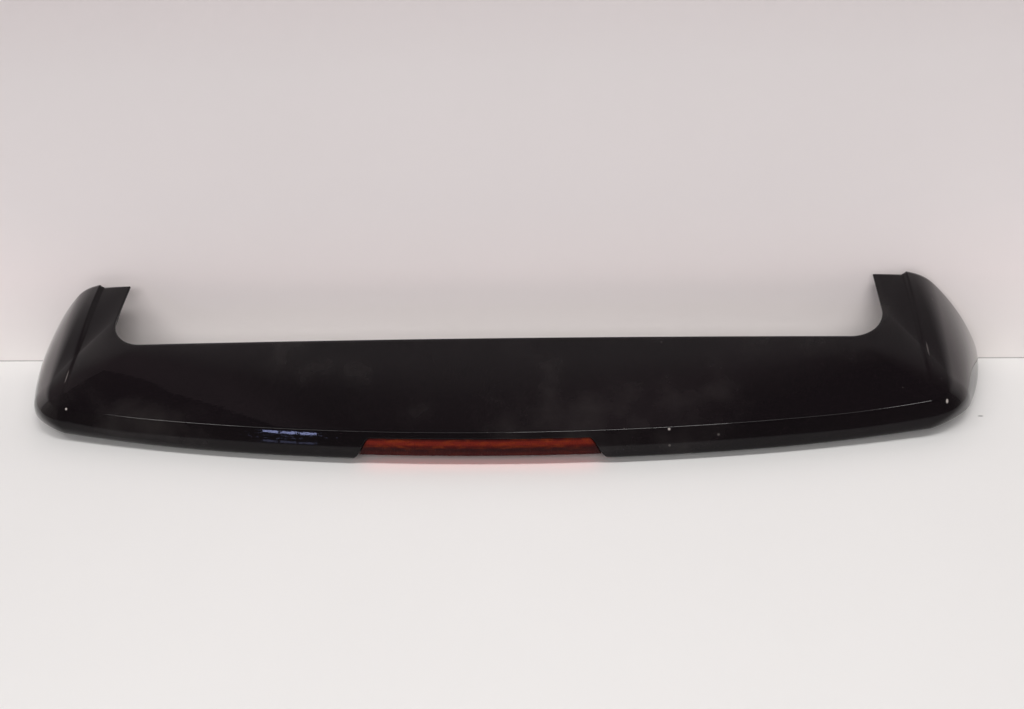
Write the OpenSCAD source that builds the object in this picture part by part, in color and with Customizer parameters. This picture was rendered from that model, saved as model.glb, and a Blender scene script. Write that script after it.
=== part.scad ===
// Tailgate roof spoiler with a high level stop lamp, lying on its underside.
// X runs across the car, +Y points to the front of the car, Z is up.
// The origin lies on the ground below the middle of the spoiler's outline.

/* [Rear edge] */
// Plan radius of the bowed rear edge
rear_r = 2380; // [2000:10:3000]
// Height of the crease above the ground
crease_z = 42.3; // [38:0.1:50]
// Height of the painted lip above the ground
lip_z = 10.3; // [9:0.1:14]
// How far the lip stands out behind the crease
face_lean = 6; // [2:0.5:8]
// Swell of the rear face
face_bulge = 1.75; // [1:0.25:3]
// Share of the rear face above its bend
face_bend = 0.75; // [0.5:0.01:0.8]
// How tight the bend of the rear face is, 1 for an even curve
face_tight = 3; // [1:0.25:4]
// Tangent length of the crease's rounding
crease_round = 2; // [1.6:0.1:4]

/* [Corners and flanks] */
// Distance from the cutout to where the rear edge turns the corner
wing_w = 33; // [20:1:45]
// Plan radius of the crease at the corner
crease_corner_r = 36; // [30:1:50]
// Plan radius of the lip at the corner
lip_corner_r = 84; // [65:1:95]
// Direction in which the flank leaves the corner, from the X axis
flank_heading = 63.5; // [57:0.5:66]
// Plan radius of the flank's lower edge
flank_r = 520; // [440:10:900]
// Swell of the flank at its front end
flank_bulge = 7; // [4:0.5:10]
// How much higher the lip stands at the corner and along the flank
flank_lift = 11; // [0:0.5:13]
// Tangent length of the shoulder's rounding at the front end
shoulder_round = 14; // [8:1:20]

/* [Top sheet] */
// Depth of the front end of the wings
front_y = 232; // [215:1:250]
// Depth of the plate's front edge
plate_y = 133; // [120:1:145]
// Height of the plate's front edge at the middle
plate_z = 93.5; // [85:0.5:102]
// How far the plate's front edge drops towards its ends
plate_crown = 3.5; // [0:0.5:8]
// Height of the wing tips
tip_z = 124.5; // [112:0.5:135]
// How far the wing tips reach past the front end
tip_reach = 3; // [0:0.5:6]
// Height of the shoulder at the front end
shoulder_z = 122.5; // [108:0.5:131]
// Half width of the cutout between the wings
cutout_w = 478; // [455:1:490]
// Corner radius of the cutout
cutout_r = 45; // [30:1:60]
// Swell of the sheet at the middle of the plate
plate_bulge = 0.5; // [0:0.25:3]
// Swell of the sheet at the corners
corner_bulge = 3.5; // [1:0.25:5]

/* [Raised strip] */
// Distance from the cutout to the raised strip of the wing
strip_inset = 34; // [26:1:44]
// Height of the step at the front end
strip_h = 4.5; // [2:0.25:6]
// Width of the step
strip_w = 5; // [3:0.5:8]

/* [Walls] */
// Wall of the painted shell
skin = 3; // [2.5:0.1:3.5]
// Wall of the lower shell
lower_wall = 2.5; // [2:0.1:3]
// Gap between the shells that the adhesive fills
bond_gap = 1.5; // [1.2:0.1:2.5]
// Width of the bonding flange along the inner edge
flange_w = 17; // [12:1:20]
// Height of the bonding flange behind the lip
lip_flange_h = 9; // [7:0.5:12]
// Depth of the hollow between the sheet and the mounting land
land_depth = 20; // [16:1:24]
// Width of the mounting land
land_w = 34; // [30:1:40]
// Width of the hole for the lamp's wiring
wiring_hole_w = 26; // [22:1:32]
// Height of the hole for the lamp's wiring
wiring_hole_h = 16; // [14:0.5:18]

/* [Stop lamp] */
// Half width of the lens at its top
lens_top_w = 125; // [100:1:150]
// How much wider the lens is at its bottom, on each side
lens_flare = 21; // [10:1:30]
// Height of the top of the lens
lens_top_z = 36; // [32:0.5:38]
// Height of the bottom of the lens
lens_bottom_z = 15.5; // [13:0.5:18]
// How far the lens stands back from the painted face
lens_recess = 0.8; // [0:0.1:1.5]
// Wall of the lens
lens_wall = 2.2; // [1.8:0.1:2.8]
// Gap around the lens
lens_gap = 0.6; // [0.4:0.1:1]
// Wall of the lamp housing
housing_wall = 2; // [1.6:0.1:2.4]
// Thickness of the circuit board
board_t = 1.6; // [1:0.1:2]
// Number of light emitting diodes
led_count = 12; // [6:2:16]
// Width of one diode
led_w = 3.5; // [3:0.1:5]
// Diameter of the lamp's screws
lamp_screw_d = 4; // [3:0.5:4.5]
// Width of the connector's socket
socket_w = 14; // [12:0.5:18]
// Height of the connector's socket
socket_h = 8; // [7:0.5:9]

/* [Fixings] */
// Diameter of the mounting studs' threads
stud_d = 6; // [5:1:8]
// Length of a stud below its boss
stud_len = 24; // [18:1:28]
// Diameter of the moulded bosses
boss_d = 22; // [20:1:26]
// How far a boss stands above and below the land
boss_h = 2; // [1:0.5:4]
// Thickness of the foam washer around a stud
washer_t = 4; // [3:0.5:6]
// Diameter of the locating pegs
peg_d = 8; // [6:0.5:10]
// Length of a locating peg below its boss
peg_len = 10; // [8:0.5:14]
// Diameter of a retaining clip's stem
clip_d = 6; // [5:0.5:7]
// Length of a retaining clip's stem
clip_len = 14; // [10:1:18]
// Height of a rubber buffer
buffer_h = 11; // [8:1:14]
// Width of the edge seal
seal_w = 8; // [6:0.5:10]
// Thickness of the edge seal
seal_t = 4; // [3:0.5:6]

/* [Hidden] */
$fn = 32;
// Segments of the long sweeps around the rear edge's centre
fine_fn = 1440;
// Clearance between loose fits
fit = 0.3;
// How far a cutter runs past the wall that it cuts
past = 1;

// Stations along half of the outline: lamp, lamp end, rear, corner and wing
N_LAMP = 4;
N_END = 6;
N_REAR = 12;
N_CORNER = 12;
N_WING = 12;
// Samples across the sheet, the step, the strip, the rounding and the face
N_SHEET = 7;
N_STEP = 3;
N_STRIP = 3;
N_ROUND = 4;
N_FACE = 8;
// Step between two stations or two shares that give a direction
along_step = 0.01;
across_step = 0.02;

// Gap between the lower shell and a wing cover, on the scale of the stations
seam = 0.008;
// Depth at which the shoulder starts to rise, and the shape of its rise
rise_y = 35;
rise_power = 1.6;
rise_fade = 0.9;
// Depth at which the step has faded away
strip_fade_y = 62;
// The step starts at this share of the sheet's width at the latest, its least gap to the
// crease's rounding is this share, and it takes at most this share of what is left
strip_limit = 0.9;
strip_margin = 0.02;
step_limit = 0.5;
// Stations at which the crease's rounding starts and stops to grow into the shoulder's
round_t = [1.2, 3];
// Stations at which the lip starts and stops to rise
lift_t = [0.6, 1.6];
// How far a free edge is rounded beyond its last point
edge_round = 1;
corner_x = cutout_w + wing_w;
strip_x = cutout_w + strip_inset;
// How far the rear face stands out beyond the lip, as a share of its swell
face_reach = 0.6;
// Middle of the outline, from the lens to the wing tips
mid_y = (front_y + tip_reach + edge_round - face_lean - face_reach * face_bulge + lens_recess) / 2;

// Lower shell: inset from the inner edge, and gap between its flange and the land
edge_inset = 5;
land_gap = 4;
land_start = edge_inset + flange_w + land_gap;
// The land ends at this share of the sheet's width at the latest
land_limit = 0.8;
// Distances from the painted face to the outside and the inside of the flanges
bond_d = skin + bond_gap;
flange_d = bond_d + lower_wall;
// Keel that the part stands on: distance from the lip, width, and its two sloping sides
keel_d = 33;
keel_w = 6;
keel_front = [4, 6];
keel_rear = [3, 4];
// Shelf under the lamp: its front end, its rear end, and the upstand there
shelf_d = 24;
lamp_shelf_d = 9;
lamp_upstand = 0.2;
// Distances over which the flange behind the lip replaces the lamp's shelf
lamp_end_gap = 2;
lamp_end_w = 12;

// Stations of the studs, clips, pegs and buffers, on a scale of 0 at the middle,
// 1 and 2 at the ends of the corner and 3 at the front end
STUD_T = [0.36, 0.9, 2.45];
CLIP_T = [0.62, 1.5];
PEG_T = [0.14];
BUFFER_T = 2.8;
small_boss_d = 15;
stud_shoulder_d = stud_d + 1.5;
stud_head_d = 2.5 * stud_d;
stud_head_h = 2;
stud_tip_h = 1;
clip_neck_d = clip_d - 2;
clip_neck_h = boss_h + lower_wall + 2;
clip_flange_t = 1.6;
clip_tip_h = 2;
clip_barb = [1.2, 1.2, 3];

// Lamp: plane where lens and housing meet, back of the housing, its walls, and what it holds
lamp_mid_y = 8;
lamp_back_y = 26;
lens_rim = 2;
lens_bottom_w = lens_top_w + lens_flare;
lens_foot_slope = 0.5;
lamp_depth = 60;
// Part of the rear face that the lens follows, from the crease to the lip
lens_face = [0.02, 0.98];
inner_low = lens_bottom_z + housing_wall;
inner_high = lens_top_z - edge_round - lens_gap - housing_wall;
inner_mid = (inner_low + inner_high) / 2;
screw_x = lens_top_w + 1;
screw_y = 15.5;
screw_boss_d = lamp_screw_d + 4;
screw_grip = 4.5;
screw_head_h = 2.4;
hex_d = 2.2;
hex_h = 1.8;
reflector_y = 9.5;
reflector_back_y = 16.8;
reflector_post_d = 3;
cup_rim = 0.7;
cup_throat = 0.75 * led_w;
board_y = 19;
board_margin = 11;
board_w = lens_top_w - board_margin;
led_h = 1.9;
led_shape = 0.8;
led_margin = 4;
led_pitch = 2 * (board_w - led_margin) / led_count;
resistor = [3.2, 0.6, 1.6];
socket_x = 60;
socket_y = 38;
socket_wall = 2;
socket_floor = 1.5;
contact_d = 1.2;
contact_pitch = 5;
contact_inset = 6;
rib_w = 2;
rib_x = socket_x + 6;
vent_d = 9;
vent_t = 0.8;
lamp_seal_y = [7, 14];
lamp_seal_margin = 8;

// General helpers
function lerp(a, b, k) = a + (b - a) * k;
function unit(v) = v / norm(v);
function clamp01(k) = max(0, min(1, k));
function ease(k) = let (c = clamp01(k)) c * c * (3 - 2 * c);
function flat(p) = [p.x, p.y];
function arc_point(start, from, radius, to) =
    start + radius * [sin(to) - sin(from), cos(from) - cos(to)];

// Plan curves of half of the outline, for t from 0 at the middle to 3 at the front end
corner_heading = asin(corner_x / rear_r);
function rear_heading(t) = corner_heading * min(t, 1);
function edge_plan(t) =
    t <= 1 ? [t * (cutout_w - cutout_r), plate_y]
    : t <= 2 ? arc_point([cutout_w - cutout_r, plate_y], 0, cutout_r, 90 * (t - 1))
    : [cutout_w, lerp(plate_y + cutout_r, front_y + tip_reach, t - 2)];
function crease_plan(t) =
    t <= 1 ? let (h = rear_heading(t)) rear_r * [sin(h), 1 - cos(h)]
    : t <= 2 ? arc_point(crease_plan(1), corner_heading, crease_corner_r,
                         lerp(corner_heading, 90, t - 1))
    : [crease_plan(2).x, lerp(crease_plan(2).y, front_y, t - 2)];
function lip_heading(t) =
    t <= 1 ? rear_heading(t)
    : t <= 2 ? lerp(corner_heading, flank_heading, t - 1)
    : let (y0 = lip_plan(2).y, y = lerp(y0, front_y, t - 2))
      acos(cos(flank_heading) - (y - y0) / flank_r);
function lip_plan(t) =
    t <= 1 ? let (h = rear_heading(t), r = rear_r + face_lean) [r * sin(h), rear_r - r * cos(h)]
    : t <= 2 ? arc_point(lip_plan(1), corner_heading, lip_corner_r, lip_heading(t))
    : arc_point(lip_plan(2), flank_heading, flank_r, lip_heading(t));

// Heights along the three plan curves
function edge_height(t) = let (p = edge_plan(t))
    plate_z - plate_crown * pow(p.x / cutout_w, 2)
    + (tip_z - plate_z + plate_crown) * (p.y - plate_y) / (front_y + tip_reach - plate_y);
function crease_height(t) = let (w = clamp01((crease_plan(t).y - rise_y) / (front_y - rise_y)))
    crease_z + (shoulder_z - crease_z) * pow(w, rise_power) * (1 + rise_fade - rise_fade * w);
function lip_height(t) = lip_z + flank_lift * ease((t - lift_t[0]) / (lift_t[1] - lift_t[0]));

function edge_point(t) = let (p = edge_plan(t)) [p.x, p.y, edge_height(t)];
function crease_point(t) = let (p = crease_plan(t)) [p.x, p.y, crease_height(t)];
function lip_point(t) = let (p = lip_plan(t)) [p.x, p.y, lip_height(t)];

// The top sheet between the inner edge, at f = 0, and the crease, at f = 1, without its step
function flank_share(t) = ease((t - 1) / 2);
function sheet_bulge(t) = t < 1 ? lerp(plate_bulge, corner_bulge, ease(t))
    : lerp(corner_bulge, plate_bulge, flank_share(t));
function base_point(t, f) =
    lerp(edge_point(t), crease_point(t), f) + [0, 0, sheet_bulge(t) * 4 * f * (1 - f)];

// The step that raises the outer strip of each wing
function strip_start(t) = let (a = edge_plan(t), b = crease_plan(t))
    min(strip_limit, (strip_x - a.x) / (b.x - a.x));
function strip_end(t) = let (a = edge_plan(t), b = crease_plan(t))
    strip_start(t) + min(strip_w / (b.x - a.x), step_limit * (1 - strip_start(t)));
function strip_rise(t, f) = let (
        f0 = strip_start(t), f1 = strip_end(t),
        y = lerp(edge_plan(t).y, crease_plan(t).y, f0),
        full = strip_h * ease((y - strip_fade_y) / (front_y - strip_fade_y)))
    t < 1 || f <= f0 ? 0 : f < f1 ? full * ease((f - f0) / (f1 - f0)) : full * (1 - f) / (1 - f1);
function sheet_point(t, f) = base_point(t, f) + [0, 0, strip_rise(t, f)];

// The rear face or flank between the crease, at u = 0, and the lip, at u = 1
function face_control(t) = let (b = crease_point(t), c = lip_point(t), h = lip_heading(t))
    lerp(b, c, lerp(face_bend, 0.5, flank_share(t)))
    + 2 * lerp(face_bulge, flank_bulge, flank_share(t)) * unit(cross(c - b, [cos(h), sin(h), 0]));
function face_weight(t) = lerp(face_tight, 1, flank_share(t));
function face_point(t, u) = let (k = 2 * face_weight(t) * u * (1 - u), v = (1 - u) * (1 - u))
    (v * crease_point(t) + k * face_control(t) + u * u * lip_point(t)) / (v + k + u * u);

// Where the face comes down to a height
function face_u_at(t, z) = let (
        b = crease_height(t) - z,
        m = face_weight(t) * (face_control(t).z - z),
        k = b - 2 * m + lip_height(t) - z)
    abs(k) < 0.001 ? b / (2 * (b - m)) : min(1, (b - m - sqrt(pow(m - b, 2) - k * b)) / k);
// The face ends above the lens: how far down it runs at each station
function face_end(t) = let (x = crease_plan(t).x)
    x >= lens_bottom_w ? 1 : face_u_at(t, lerp(lens_top_z, lip_z, ease((x - lens_top_w) / lens_flare)));

// One section of the painted surface, from the inner edge over the crease to the lip
function round_length(t) =
    lerp(crease_round, shoulder_round, ease((t - round_t[0]) / (round_t[1] - round_t[0])));
function section(t) = let (
        a = crease_point(t), r = round_length(t),
        f2 = 1 - r / norm(a - edge_point(t)),
        f0 = min(strip_start(t), f2 - strip_margin), f1 = min(strip_end(t), f2 - strip_margin / 2),
        u0 = r / (2 * face_weight(t) * norm(face_control(t) - a)), u1 = face_end(t),
        from = sheet_point(t, f2), to = face_point(t, u0))
    concat([for (i = [0:N_SHEET - 1]) sheet_point(t, f0 * i / N_SHEET)],
           [for (i = [0:N_STEP - 1]) sheet_point(t, lerp(f0, f1, i / N_STEP))],
           [for (i = [0:N_STRIP - 1]) sheet_point(t, lerp(f1, f2, i / N_STRIP))],
           [for (i = [0:N_ROUND - 1]) let (k = i / N_ROUND)
               (1 - k) * (1 - k) * from + 2 * k * (1 - k) * a + k * k * to],
           [for (i = [0:N_FACE]) face_point(t, lerp(u0, u1, i / N_FACE))]);

// Stations from the middle to the front end, and sections for both halves
HALF_T = concat(
    [for (i = [0:N_LAMP - 1]) lens_top_w * i / N_LAMP / corner_x],
    [for (i = [0:N_END - 1]) (lens_top_w + lens_flare * i / N_END) / corner_x],
    [for (i = [0:N_REAR - 1]) lerp(lens_bottom_w / corner_x, 1, i / N_REAR)],
    [for (i = [0:N_CORNER - 1]) 1 + i / N_CORNER],
    [for (i = [0:N_WING]) 2 + i / N_WING]);
function mirrored(p) = [-p.x, p.y, p.z];
function both_sides(half) = let (n = len(half)) concat(
    [for (i = [n - 1:-1:1]) [for (p = half[i]) mirrored(p)]],
    half);
function grid_normal(grid, i, j) = let (n = len(grid), m = len(grid[0]),
        along = grid[min(i + 1, n - 1)][j] - grid[max(i - 1, 0)][j],
        across = grid[i][min(j + 1, m - 1)] - grid[i][max(j - 1, 0)])
    unit(cross(across, along));
function offset_grid(grid, d) = [for (i = [0:len(grid) - 1])
    [for (j = [0:len(grid[0]) - 1]) grid[i][j] + d * grid_normal(grid, i, j)]];

// A closed solid through a row of loops with the same number of points
module loft(loops) {
    m = len(loops[0]);
    n = len(loops);
    points = [for (loop = loops) for (p = loop) p];
    sides = [for (i = [0:n - 2]) for (j = [0:m - 1]) let (k = (j + 1) % m)
        each [[i * m + j, (i + 1) * m + k, i * m + k], [i * m + j, (i + 1) * m + j, (i + 1) * m + k]]];
    // each end is a band between its first and its last points
    caps = [for (e = [0, n - 1]) for (j = [0:floor(m / 2) - 2]) let (a = e * m + j, b = e * m + m - 1 - j)
        each e == 0 ? [[a, a + 1, b - 1], [a, b - 1, b]] : [[a, b - 1, a + 1], [a, b, b - 1]]];
    polyhedron(points = points, faces = concat(sides, caps), convexity = 8);
}

// A loop around two facing rows of points, with both free edges rounded
function rounded_loop(upper, lower) = let (m = len(upper),
        first = (upper[0] + lower[0]) / 2 + edge_round * unit(upper[0] - upper[1]),
        last = (upper[m - 1] + lower[m - 1]) / 2 + edge_round * unit(upper[m - 1] - upper[m - 2]))
    concat(upper, [last], [for (j = [m - 1:-1:0]) lower[j]], [first]);

module upper_shell() {
    outside = both_sides([for (t = HALF_T) section(t)]);
    inside = offset_grid(outside, -skin);
    color("#1b1517")
        loft([for (i = [0:len(outside) - 1]) rounded_loop(outside[i], inside[i])]);
}

// Points below the sheet and behind the face
function t_low(t) = max(0, t - along_step);
function t_high(t) = min(3, t + along_step);
function base_normal(t, f) = unit(cross(
    base_point(t, f + across_step / 2) - base_point(t, f - across_step / 2),
    base_point(t_high(t), f) - base_point(t_low(t), f)));
function below_sheet(t, f, d, drop = 0) =
    base_point(t, f) - [0, 0, d / base_normal(t, f).z + drop];
function behind_face(t, u, d) = face_point(t, u) - d * unit(cross(
    face_point(t, u) - face_point(t, u - across_step),
    face_point(t_high(t), u) - face_point(t_low(t), u)));
function face_share(t, d) = face_u_at(t, lip_height(t) + d);

// Across a station: from the lip towards the inner edge, and back
function inward(t) = unit(edge_plan(t) - lip_plan(t));
function shelf_point(t, s, z) = let (p = lip_plan(t) + s * inward(t)) [p.x, p.y, z];
function sheet_share(t, d) = d / norm(edge_plan(t) - crease_plan(t));
function land_share(t, k) = lerp(sheet_share(t, land_start),
                                 min(sheet_share(t, land_start + land_w), land_limit), k);
function shelf_z(t) = behind_face(t, 1, bond_d).z;

// The visible side of the lower shell, from the flange at the inner edge to the lip
function lower_path(t) = let (
        z = shelf_z(t), k = ease((crease_plan(t).x - lens_bottom_w - lamp_end_gap) / lamp_end_w),
        low = behind_face(t, 1, bond_d), high = behind_face(t, face_share(t, lip_flange_h), bond_d),
        lamp = shelf_point(t, lamp_shelf_d, z))
    [below_sheet(t, sheet_share(t, edge_inset), flange_d),
     below_sheet(t, sheet_share(t, edge_inset + flange_w), flange_d),
     below_sheet(t, land_share(t, 0), flange_d, land_depth),
     below_sheet(t, land_share(t, 0.5), flange_d, land_depth),
     below_sheet(t, land_share(t, 1), flange_d, land_depth),
     shelf_point(t, keel_d + keel_w + keel_front.x, keel_front.y),
     shelf_point(t, keel_d + keel_w, 0),
     shelf_point(t, keel_d, 0),
     shelf_point(t, keel_d - keel_rear.x, keel_rear.y),
     shelf_point(t, shelf_d, z),
     lerp(lamp, low, k),
     lerp(lamp + [0, 0, lower_wall + lamp_upstand], high, k)];

// The same path moved into the hollow by d, kept even across its bends
function turn_left(a, b) = unit([b.y - a.y, a.x - b.x]);
function moved_path(t, path, d) = let (
        o = lip_plan(t), w = inward(t), m = len(path),
        flat_path = [for (p = path) [(flat(p) - o) * w, p.z]],
        sides = [for (j = [0:m - 2]) turn_left(flat_path[j], flat_path[j + 1])])
    [for (j = [0:m - 1]) let (
            a = sides[max(0, j - 1)], b = sides[min(m - 2, j)],
            v = (a + b) / (1 + max(0, a * b)))
        path[j] + d * [v.x * w.x, v.x * w.y, v.y]];
function lower_loop(t) = let (path = lower_path(t))
    rounded_loop(moved_path(t, path, lower_wall), path);

// A vertical place on the mounting land, and how low and how high a boss there reaches
function land_spot(t) = below_sheet(t, land_share(t, 0.5), flange_d, land_depth);
function land_slope(t) = let (n = base_normal(t, land_share(t, 0.5))) norm([n.x, n.y]) / n.z;
function boss_low(t, d) = land_spot(t).z - land_slope(t) * d / 2 - boss_h;
function boss_high(t, d) = land_spot(t).z + land_slope(t) * d / 2 + lower_wall + boss_h;
module at_spots(list, sides = [-1, 1]) {
    for (t = list, side = sides)
        translate([side * land_spot(t).x, land_spot(t).y, 0]) {
            $t_spot = t;
            children();
        }
}
module boss(d, margin = 0, across = 0) {
    low = boss_low($t_spot, d) - margin;
    translate([0, 0, low])
        cylinder(d = across > 0 ? across : d, h = boss_high($t_spot, d) + margin - low);
}
// A moulding through a row of loops, with its studs', clips', buffers' and pegs' bosses
module bossed_moulding(loops, studs, small_spots, pegs, sides) {
    difference() {
        union() {
            loft(loops);
            at_spots(studs, sides) boss(boss_d);
            at_spots(concat(small_spots, pegs), sides) boss(small_boss_d);
            at_spots(pegs, sides)
                translate([0, 0, boss_low($t_spot, small_boss_d) - peg_len])
                    cylinder(d = peg_d, h = peg_len + boss_h);
        }
        at_spots(studs, sides) boss(boss_d, past, stud_shoulder_d + 2 * fit);
        at_spots(small_spots, sides) boss(small_boss_d, past, clip_neck_d + 2 * fit);
    }
}
function up_to(list, end_t) = [for (t = list) if (t <= end_t) t];
function of_rear(list) = up_to(list, 1);
function of_wing(list) = [for (t = list) if (t > 1 + seam) t];
module lower_shell() {
    color("#17181a")
        difference() {
            bossed_moulding(both_sides([for (t = of_rear(HALF_T)) lower_loop(t)]),
                            of_rear(STUD_T), of_rear(CLIP_T), PEG_T, [-1, 1]);
            for (side = [-1, 1])
                translate([side * screw_x, screw_y, 0])
                    cylinder(d = lamp_screw_d + 2 * fit, h = shelf_top + past);
            translate([socket_x - wiring_hole_w / 2, socket_y + socket_wall,
                       inner_mid - wiring_hole_h / 2])
                cube([wiring_hole_w, keel_d + keel_w, wiring_hole_h]);
        }
}
module wing_cover(side) {
    color("#1b1c1e")
        mirror([side < 0 ? 1 : 0, 0, 0])
            bossed_moulding([for (t = concat([1 + seam], of_wing(HALF_T))) lower_loop(t)],
                            of_wing(STUD_T), concat(of_wing(CLIP_T), [BUFFER_T]), [], [1]);
}
module wing_cover_left() { wing_cover(-1); }
module wing_cover_right() { wing_cover(1); }

// Loops of a strip below the painted sheet, between two distances from the inner edge
function strip_loops(stations, from, to, top, bottom) = [for (t = stations) let (
        rows = [for (i = [0:2]) sheet_share(t, lerp(from, to, i / 2))],
        up = [for (f = rows) below_sheet(t, f, top)],
        down = [for (f = rows) below_sheet(t, f, bottom)])
    concat(up, [for (i = [2:-1:0]) down[i]])];
bead_t = bond_gap - 2 * fit;
bead_inset = 3;
lip_bead_inset = 1.5;
bead_end_t = 2.99;
seal_end_t = 2.95;
function bead_loops(stations) = strip_loops(
    stations, edge_inset + bead_inset, edge_inset + flange_w - bead_inset - edge_round,
    skin + fit, skin + fit + bead_t);
module bond_bead_front() {
    color("#4a4d50")
        loft(both_sides(bead_loops(of_rear(HALF_T))));
}
module wing_bead(side) {
    color("#4a4d50")
        mirror([side < 0 ? 1 : 0, 0, 0])
            loft(bead_loops(concat([1 + seam], up_to(of_wing(HALF_T), bead_end_t))));
}
module bond_bead_left() { wing_bead(-1); }
module bond_bead_right() { wing_bead(1); }
module edge_seal() {
    top = flange_d + fit;
    from = edge_inset + edge_round;
    color("#26282a")
        loft(both_sides(strip_loops(up_to(HALF_T, seal_end_t), from, from + seal_w, top, top + seal_t)));
}
module bond_bead_rear() {
    from_t = (lens_bottom_w + lamp_end_gap + lamp_end_w + lip_bead_inset) / corner_x;
    half = [for (t = up_to(HALF_T, bead_end_t)) if (t >= from_t) let (
            rows = [for (d = [lip_bead_inset, lip_flange_h - lip_bead_inset]) face_share(t, d)],
            out = [for (u = rows) behind_face(t, u, skin + fit)],
            in = [for (u = rows) behind_face(t, u, skin + fit + bead_t)])
        [out[1], out[0], in[0], in[1]]];
    color("#4a4d50")
        for (side = [0, 1])
            mirror([side, 0, 0])
                loft(half);
}

// Closing caps in the front ends of the wings
cap_t = [seal_end_t, 2.985];
cap_gap = 3 * fit;
cap_margin = 6;
cap_land = [0.2, 0.5];
cap_top_share = 0.14;
cap_foot = 4;
N_CAP = 5;
// Place of the foot of the lip's flange in the list of the lower shell's path
FLANGE_FOOT = 10;
module end_cap(side) {
    loops = [for (t = cap_t) let (
            path = moved_path(t, lower_path(t), lower_wall + cap_gap),
            shares = [sheet_share(t, edge_inset + flange_w + cap_margin), land_share(t, cap_land.x),
                      land_share(t, cap_land.y), land_share(t, 1) - across_step, land_limit],
            upper = [for (f = shares) below_sheet(t, f, skin + cap_gap)],
            low_share = face_share(t, lip_flange_h + cap_margin),
            outer = [for (i = [0:N_CAP])
                behind_face(t, lerp(cap_top_share, low_share, i / N_CAP), skin + cap_gap + fit)],
            foot = path[FLANGE_FOOT] + cap_foot * [inward(t).x, inward(t).y, 0])
        concat(upper, outer, [(outer[N_CAP] + foot) / 2, foot],
               [for (j = [FLANGE_FOOT - 1:-1:1]) path[j]])];
    mirror([side < 0 ? 1 : 0, 0, 0])
        loft(loops);
}
module end_cap_left() { color("#202124") end_cap(-1); }
module end_cap_right() { color("#202124") end_cap(1); }

// Stop lamp. Its face follows the rear face of the spoiler, swept around the rear edge's centre
module around_rear(profile, half_w) {
    sweep = 2 * asin(half_w / rear_r);
    translate([0, rear_r, 0])
        rotate([0, 0, 270 - sweep / 2])
            rotate_extrude(angle = sweep, $fn = fine_fn)
                polygon(profile);
}
function face_profile(d) = [for (i = [0:N_FACE]) let (
        p = behind_face(0, lerp(lens_face[0], lens_face[1], i / N_FACE), d))
    [rear_r - p.y, p.z]];
function lens_outline(gap) = let (
        low = lens_bottom_z + gap - lens_gap,
        half = [for (i = [0:N_END]) let (k = i / N_END,
                z = lerp(lens_top_z, lip_z, ease(k)) - edge_round - gap)
            if (z > lens_bottom_z) [lens_top_w + lens_flare * k - gap, z]],
        last = half[len(half) - 1],
        foot = [last.x + (last.y - low) * lens_foot_slope, low])
    concat(half, [foot], [[-foot.x, foot.y]], [for (i = [len(half) - 1:-1:0]) [-half[i].x, half[i].y]]);
module lamp_prism(gap, from_y, to_y) {
    translate([0, to_y, 0])
        rotate([90, 0, 0])
            linear_extrude(to_y - from_y)
                polygon(lens_outline(gap));
}
module lens_body(d, gap, back_y) {
    depth = rear_r - lamp_depth;
    intersection() {
        around_rear(concat(face_profile(lens_recess + d), [[depth, lip_z], [depth, crease_z]]),
                    lens_bottom_w + past);
        lamp_prism(gap, -lamp_depth, back_y);
    }
}
module stop_lamp_lens() {
    color("#a01818")
        difference() {
            lens_body(0, lens_gap, lamp_mid_y);
            lens_body(lens_wall, lens_gap + lens_rim, lamp_mid_y + past);
        }
}
module along_y(x, y, z, d, len) {
    translate([x, y, z])
        rotate([-90, 0, 0])
            cylinder(d = d, h = len);
}
module span_box(half_w, from_y, to_y, from_z, to_z) {
    translate([-half_w, from_y, from_z])
        cube([2 * half_w, to_y - from_y, to_z - from_z]);
}
shelf_top = shelf_z(0) + lower_wall;
module stop_lamp_housing() {
    front = lamp_mid_y + fit;
    color("#1c1c1f")
        difference() {
            union() {
                difference() {
                    lamp_prism(lens_gap, front, lamp_back_y);
                    lamp_prism(lens_gap + housing_wall, front - past, lamp_back_y - housing_wall);
                }
                for (side = [-1, 1]) {
                    translate([side * screw_x, screw_y, shelf_top + fit])
                        cylinder(d = screw_boss_d, h = inner_low + screw_grip + housing_wall - shelf_top);
                    translate([side * rib_x - rib_w / 2, board_y + board_t + fit, inner_low - past / 2])
                        cube([rib_w, lamp_back_y - housing_wall - board_y - board_t,
                              inner_high - inner_low + past]);
                }
                translate([socket_x - socket_w / 2 - socket_wall, lamp_back_y - past,
                           inner_mid - socket_h / 2 - socket_wall])
                    cube([socket_w + 2 * socket_wall, socket_y - lamp_back_y + past,
                          socket_h + 2 * socket_wall]);
            }
            for (side = [-1, 1])
                translate([side * screw_x, screw_y, 0])
                    cylinder(d = lamp_screw_d + fit, h = inner_low + screw_grip + fit);
            translate([socket_x - socket_w / 2, lamp_back_y + socket_floor, inner_mid - socket_h / 2])
                cube([socket_w, socket_y, socket_h]);
            for (side = [-0.5, 0.5])
                along_y(socket_x + side * contact_pitch, lamp_back_y - housing_wall - past, inner_mid,
                        contact_d + fit, housing_wall + socket_floor + 2 * past);
        }
}
function led_x(i) = (i - (led_count - 1) / 2) * led_pitch;
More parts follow.
